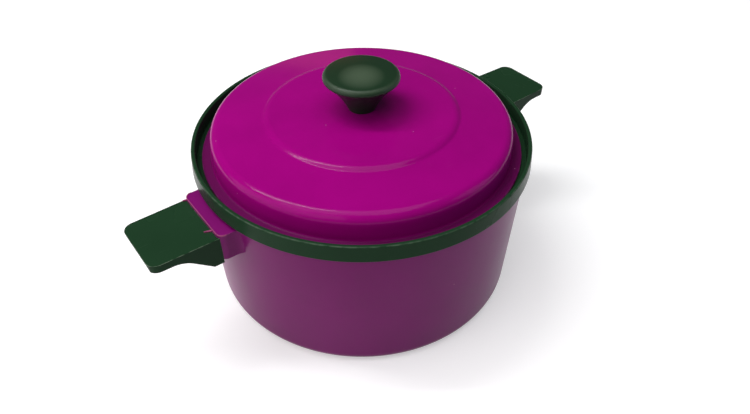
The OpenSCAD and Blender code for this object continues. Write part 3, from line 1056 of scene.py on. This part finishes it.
# %% [markdown]
# ## The pot
# The pot is one moulding: a thin tapered shell with a round lower edge and a foot ring, and a socket on
# each side. One mesh could be pulled into that form by hand, but separate moves are easier to follow. The
# shell is turned like the lid, the sockets are blocks with round lower corners that are joined to it, and
# then the pockets for the handles' tongues and the screw holes are cut. Inside, a round pad carries each
# screw. The plastic is a dull purple with a satin surface.

# %% Pot section
FLOOR_TOP = 2.2
FOOT_HOLLOW = 0.6
FOOT_IN_R = 44.57
FOOT_EDGE = 0.25
BASE_ROUND = 4.6
RIM_EDGE = 0.3


def pot_section():
    """Half section of the shell, from the middle of the floor up the inside, over the rim and down."""
    return section([
        (0, FLOOR_TOP, 0),
        (wall_r(FLOOR_TOP) - WALL_T, FLOOR_TOP, BASE_ROUND - WALL_T),
        (POT_RIM_R - WALL_T, pot_high.z, RIM_EDGE),
        (POT_RIM_R, pot_high.z, RIM_EDGE),
        (wall_r(0), 0, BASE_ROUND),
        (FOOT_IN_R, 0, FOOT_EDGE),
        (FOOT_IN_R, FOOT_HOLLOW, FOOT_EDGE),
        (0, FOOT_HOLLOW, 0),
    ], closed=False)


print("pot section:", len(pot_section()), "points")

# %% Socket
SOCKET_LOW_ROUND = 6.0
SOCKET_EDGE = 0.45
PAST = 1.0
MASK_DEPTH = 20.0
FROM_TIP = Matrix(((0, 0, 1, 0), (1, 0, 0, 0), (0, 1, 0, 0), (0, 0, 0, 1)))


def socket():
    """One socket, its edges soft and its lower corners round when seen from the handle's tip."""
    half = SOCKET_HALF + SOCKET_FILLET
    low_c = (half - SOCKET_LOW_ROUND, SOCKET_LOW + SOCKET_LOW_ROUND)
    front = [(-half, SOCKET_TOP + PAST)]
    front += arc((-low_c[0], low_c[1]), SOCKET_LOW_ROUND, 180, 270, OUTLINE_STEPS)
    front += arc(low_c, SOCKET_LOW_ROUND, 270, 360, OUTLINE_STEPS) + [(half, SOCKET_TOP + PAST)]
    mask = block("socket_mask", front, SOCKET_FACE - MASK_DEPTH, SOCKET_FACE + PAST, FROM_TIP)
    body = block("socket", socket_outline(0), SOCKET_LOW, SOCKET_TOP)
    return softened(combined(body, [mask], "INTERSECT"), SOCKET_EDGE)


print("socket:", 2 * SOCKET_HALF, "mm wide,", round(SOCKET_TOP - SOCKET_LOW, 1), "mm high")

# %% Pot
SCREW_Z = SOCKET_TOP - 5.2
PAD_R = 3.5
PAD_T = 1.6
PAD_FACE = wall_r(SCREW_Z - PAD_R) - WALL_T - 0.8
POCKET_HALF_W = 8.55
POCKET_HALF_H = 3.4
ROD_STEPS = 48
ALONG_X = Matrix.Rotation(math.pi / 2, 4, "Y")


def rod(name, radius, start, stop):
    """A round rod along X at the height of the screws, to join or to cut."""
    circle = arc((0, 0), radius, 0, 360, ROD_STEPS)[:-1]
    return block(name, circle, start, stop, Matrix.Translation((0, 0, SCREW_Z * MM)) @ ALONG_X)


def pot(finish):
    """The whole pot moulding."""
    shell = turned("pot_shell", pot_section(), finish)
    sockets = twice(socket(), finish)
    pads = twice(rod("pad", PAD_R, PAD_FACE, PAD_FACE + PAD_T), finish)
    low, high = SCREW_Z - POCKET_HALF_H, SCREW_Z + POCKET_HALF_H
    pockets = twice(bar("pocket", POT_RIM_R, SOCKET_FACE + PAST, POCKET_HALF_W, low, high), finish)
    holes = twice(rod("hole", SCREW_HOLE, PAD_FACE - PAST, SOCKET_FACE), finish)
    whole = combined(combined(shell, [sockets, pads], "UNION"), [pockets, holes], "DIFFERENCE")
    return finished(whole, "purple_pot", finish)


purple = moulded_plastic(
    "pot_purple", colour=(0.171, 0.004, 0.119, 1), pale=(0.60, 0.33, 0.42, 1),
    roughness=0.28, gloss=0.115, grain=0.12, rub_and_sheen=0.20)
body = pot(purple)
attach(body, "pot_assembly")
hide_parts("pot_body")

# %% [markdown]
# ## The handles' outlines
# Each handle is a thin tab with a deep root: a flat top with round corners at the tip, and a slope
# underneath that stiffens the root and runs into the tip in a hollow round. A cube could be cut and pulled
# into shape, but two outlines describe the tab better, one seen from above and one from the side. Both take
# an inset, so that the same outlines also give the hollow inside and the rib.

# %% Handle outlines
handle_low, handle_high = (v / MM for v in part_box("handle_right"))
HANDLE_LOW = handle_low.z
HANDLE_TOP = handle_high.z
HANDLE_TIP = handle_high.x
HANDLE_HALF = 11.9
HANDLE_TAPER = 0.4
TIP_ROUND = 3.5
TIP_T = 2.9
TIP_DRAFT = 0.4
ROOT_END = SOCKET_FACE + 2.9
SLOPE_END = SOCKET_FACE + 12.0
SLOPE_ROUND = 10.0


def handle_plan(start, inset):
    """A handle seen from above, from a start to its tip, drawn in by an inset."""
    lean = HANDLE_TAPER / (HANDLE_TIP - SOCKET_FACE)
    tip_x = HANDLE_TIP - TIP_ROUND
    tip_y = HANDLE_HALF - lean * (tip_x - SOCKET_FACE) - TIP_ROUND
    tip = arc((tip_x, tip_y), TIP_ROUND - inset, 0, 90 - math.degrees(lean), OUTLINE_STEPS)
    return mirrored(tip + [(start, HANDLE_HALF - lean * (start - SOCKET_FACE) - inset)])


def handle_side(inset):
    """A handle seen from the side: plate, slope and root, cut short below by an inset."""
    root = HANDLE_LOW + inset
    plate = HANDLE_TOP - TIP_T + inset
    start = SOCKET_FACE - SOCKET_ROUND
    top = HANDLE_TOP + PAST
    turn = math.degrees(math.atan2(plate - root, SLOPE_END - ROOT_END))
    centre = (SLOPE_END + SLOPE_ROUND * math.tan(math.radians(turn / 2)), plate - SLOPE_ROUND)
    hollow = arc(centre, SLOPE_ROUND, 90 + turn, 90, OUTLINE_STEPS)
    draft = [(HANDLE_TIP - TIP_DRAFT, plate), (HANDLE_TIP, HANDLE_TOP)]
    tip = draft if inset == 0 else [(HANDLE_TIP + PAST, plate)]
    return [(start, root), (ROOT_END, root)] + hollow + tip + [(HANDLE_TIP + PAST, top), (start, top)]


print("handle:", round(HANDLE_TIP - SOCKET_FACE, 1), "mm long,", round(HANDLE_TOP - HANDLE_LOW, 1), "mm deep")

# %% [markdown]
# ## The handles
# The outer form is what the two outlines have in common, cut at the root by the socket's outline. Like most
# such mouldings the handle is hollow below, with a rib along the middle and a boss for the screw, and a
# tongue plugs into the socket. The tip's end leans in by 0.4 mm below, as the draft of a mould makes it.
# The left handle could be a linked copy, but it is made anew and turned half round, so that each handle is
# a mesh of its own.

# %% Handle shell
HANDLE_EDGE = 0.55
HANDLE_T = 1.6
ROOT_PLAY = 0.1
SIDE_HALF = 20.0
FROM_SIDE = Matrix(((1, 0, 0, 0), (0, 0, -1, 0), (0, 1, 0, 0), (0, 0, 0, 1)))


def handle_shell():
    """The right handle's outer form, with soft edges, hollowed from below."""
    start = SOCKET_FACE - SOCKET_ROUND + ROOT_PLAY
    outer = block("handle", handle_plan(start, 0), HANDLE_LOW - PAST, HANDLE_TOP)
    side = block("side", handle_side(0), -SIDE_HALF, SIDE_HALF, FROM_SIDE)
    fit = block("fit", socket_outline(PRESS_GAP), HANDLE_LOW - 2 * PAST, HANDLE_TOP + 2 * PAST)
    outer = combined(combined(outer, [side], "INTERSECT"), [fit], "DIFFERENCE")
    plan = handle_plan(SOCKET_FACE + HANDLE_T, HANDLE_T)
    hollow = block("hollow", plan, HANDLE_LOW - 2 * PAST, HANDLE_TOP - HANDLE_T)
    return combined(softened(outer, HANDLE_EDGE), [hollow], "DIFFERENCE")


print("handle walls:", HANDLE_T, "mm thick, edges rounded by", HANDLE_EDGE, "mm")

# %% Handle ribs
RIB_T = 1.4
RIB_INTO_WALL = 0.5
BOSS_HALF = SCREW_HOLE + RIB_T
SCREW_LEN = 12.0


def handle_ribs():
    """The rib along the middle and the screw's boss, cut to the handle's side outline."""
    start = SOCKET_FACE + HANDLE_T - RIB_INTO_WALL
    rib_end = HANDLE_TIP - HANDLE_T + RIB_INTO_WALL
    boss_end = PAD_FACE + SCREW_LEN + RIB_T
    top = HANDLE_TOP - HANDLE_T / 2
    rib = bar("rib", start, rib_end, RIB_T / 2, HANDLE_LOW, top)
    boss = bar("boss", start, boss_end, BOSS_HALF, HANDLE_LOW, top)
    side = block("side", handle_side(RIB_T / 2), -SIDE_HALF, SIDE_HALF, FROM_SIDE)
    return combined(combined(rib, [boss], "UNION"), [side], "INTERSECT")


print("rib:", RIB_T, "mm thick, boss:", 2 * BOSS_HALF, "mm wide")

# %% Handles
SCREW_PLAY = 0.1
TONGUE_HALF_W = POCKET_HALF_W - PRESS_GAP
TONGUE_HALF_H = POCKET_HALF_H - PRESS_GAP


def handle():
    """The right handle."""
    low, high = SCREW_Z - TONGUE_HALF_H, SCREW_Z + TONGUE_HALF_H
    tongue = bar("tongue", handle_low.x, SOCKET_FACE + PAST, TONGUE_HALF_W, low, high)
    whole = combined(handle_shell(), [handle_ribs(), tongue], "UNION")
    hole = rod("hole", SCREW_HOLE, PAD_FACE, PAD_FACE + SCREW_LEN + SCREW_PLAY)
    return combined(whole, [hole], "DIFFERENCE")


for node, angle in (("handle_right", 0.0), ("handle_left", math.pi)):
    tab = handle()
    tab.data.transform(Matrix.Rotation(angle, 4, "Z"))
    tab = finished(tab, "tab_" + node, green)
    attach(tab, "pot_assembly")
    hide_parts(node)

# %% [markdown]
# ## Flash on the left socket
# Where the halves of a mould don't close quite tightly, a thin ridge of plastic stays along the edge of the
# moulding. The left socket has such a ridge along its outer top edge, and two slivers lie over the handle. A
# bump in the finish could hint at them, but they stand up and catch the light, so they are solid. The ridge
# is the strip between two outlines of the socket, one a hair wider than the other. Each sliver is a small
# blade that narrows to its end. The flash is coloured paler than the plastic behind it, partly as thin
# plastic and partly as a painted highlight along the socket's top edge.

# %% Flash ridge and slivers
SLIVERS = [((-63.6, -7.6), (-66.4, -6.55)), ((-63.3, 11.0), (-65.3, 11.45))]
SLIVER_WIDE = 0.35
SLIVER_THIN = 0.12
SLIVER_H = 0.45
SLIVER_SUNK = 0.05
RIDGE_OUT = 0.04
RIDGE_IN = -0.22
RIDGE_H = 0.14
RIDGE_SUNK = 0.3
RIDGE_POINTS = 11


def sliver(start, stop):
    """One blade between two places on the handle's top."""
    run = Vector(stop) - Vector(start)
    side = Vector((-run.y, run.x)).normalized()
    wide, thin = side * SLIVER_WIDE, side * SLIVER_THIN
    corners = [Vector(start) - wide, Vector(stop) - thin, Vector(stop) + thin, Vector(start) + wide]
    return block("sliver", [tuple(c) for c in corners], HANDLE_TOP - SLIVER_SUNK, HANDLE_TOP + SLIVER_H)


def ridge():
    """The strip of flash along the outer top edge of the left socket."""
    edges = []
    for gap in (RIDGE_OUT, RIDGE_IN):
        outline = socket_outline(gap)
        middle = len(outline) // 2
        edges.append(outline[middle - RIDGE_POINTS:middle + RIDGE_POINTS])
    strip = edges[0] + edges[1][::-1]
    half_turn = Matrix.Rotation(math.pi, 4, "Z")
    return block("ridge", strip, SOCKET_TOP - RIDGE_SUNK, SOCKET_TOP + RIDGE_H, half_turn)


# Partly painted highlight: this pale colour also stands for the light line along the socket's edge.
pale_flash = moulded_plastic(
    "pale_flash", colour=(0.30, 0.06, 0.16, 1), pale=(0.75, 0.48, 0.52, 1),
    roughness=0.35, gloss=0.14, grain=0.12, rub_and_sheen=0.22)
blades = [sliver(start, stop) for start, stop in SLIVERS]
flash = finished(combined(ridge(), blades, "UNION"), "flash_slivers", pale_flash)
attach(flash, "pot_assembly")

# %% [markdown]
# ## Plated steel
# The screws are steel with a thin plating of zinc: a bright metal, a little cloudy in tone and unevenly
# polished. One even value would look flat, so one fine noise pattern changes the tone and the roughness
# together.

# %% Plated steel
PLATING_SCALE = 900
PLATING_DULL = (0.50, 0.51, 0.53, 1)
PLATING_BRIGHT = (0.66, 0.67, 0.68, 1)
PLATING_ROUGH = (0.26, 0.42)


def plated_steel():
    """Zinc plating with a faintly cloudy tone and an uneven polish."""
    finish, tree, coords = new_finish("plated_steel")
    shader = tree.nodes["Principled BSDF"].inputs
    shader["Metallic"].default_value = 1.0
    cloudy = ranged(tree, noise(tree, coords, PLATING_SCALE, detail=3.0), *CLOUD_RANGE)
    feed(tree, tinted(tree, cloudy, PLATING_DULL, PLATING_BRIGHT), shader["Base Color"])
    feed(tree, ranged(tree, cloudy, 0.0, 1.0, *PLATING_ROUGH), shader["Roughness"])
    return finish


steel = plated_steel()
print("finish:", steel.name)

# %% [markdown]
# ## The screws
# Pan-head screws hold the handles from inside the pot, and one holds the knob from under the lid. A screw
# is round, so it is turned like the lid, and two crossed bars cut the driver's recess into its head. A
# thread could be swept along a helix, but it would be hidden in the plastic, so the shanks are plain. The
# pair in the pot is one screw, set twice round the axis.

# %% Screw
SCREW_R = 1.4
SCREW_TIP = 0.4
HEAD_R = 3.2
HEAD_H = 1.8
HEAD_SLANT = 0.6
HEAD_TOP_ROUND = 0.5
HEAD_SIDE_ROUND = 0.4
HEAD_EDGE = 0.15
HEAD_CORNER = 0.1
CROSS_W = 0.8
CROSS_DEPTH = 0.9


def screw(length):
    """One screw standing on Z, the underside of its head at the origin."""
    body = turned("screw", section([
        (0, -HEAD_H, 0),
        (HEAD_R - HEAD_SLANT, -HEAD_H, HEAD_TOP_ROUND),
        (HEAD_R, -HEAD_H / 2, HEAD_SIDE_ROUND),
        (HEAD_R, 0, HEAD_EDGE),
        (SCREW_R, 0, HEAD_CORNER),
        (SCREW_R, length, SCREW_TIP),
        (0, length, 0),
    ], closed=False), steel)
    slots = []
    for angle in (0.0, math.pi / 2):
        slot = bar("slot", -HEAD_R / 2, HEAD_R / 2, CROSS_W / 2, -HEAD_H - PAST, CROSS_DEPTH - HEAD_H)
        slot.data.transform(Matrix.Rotation(angle, 4, "Z"))
        slots.append(slot)
    return combined(body, slots, "DIFFERENCE")


print("screw heads:", 2 * HEAD_R, "mm across")

# %% Screws in place
KNOB_SCREW_LEN = 9.0
side_screw = screw(SCREW_LEN)
side_screw.data.transform(Matrix.Translation(Vector((PAD_FACE, 0, SCREW_Z)) * MM) @ ALONG_X)
side_screws = finished(twice(side_screw, steel), "screws_of_handles", steel)
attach(side_screws, "pot_assembly")
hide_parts("handle_screws")
lid_screw = screw(KNOB_SCREW_LEN)
lid_screw.data.transform(Matrix.Translation((0, 0, (CENTRE_Z - LID_T) * MM)))
lid_screw = finished(lid_screw, "screw_of_knob", steel)
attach(lid_screw, "lid_assembly")
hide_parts("knob_screw")
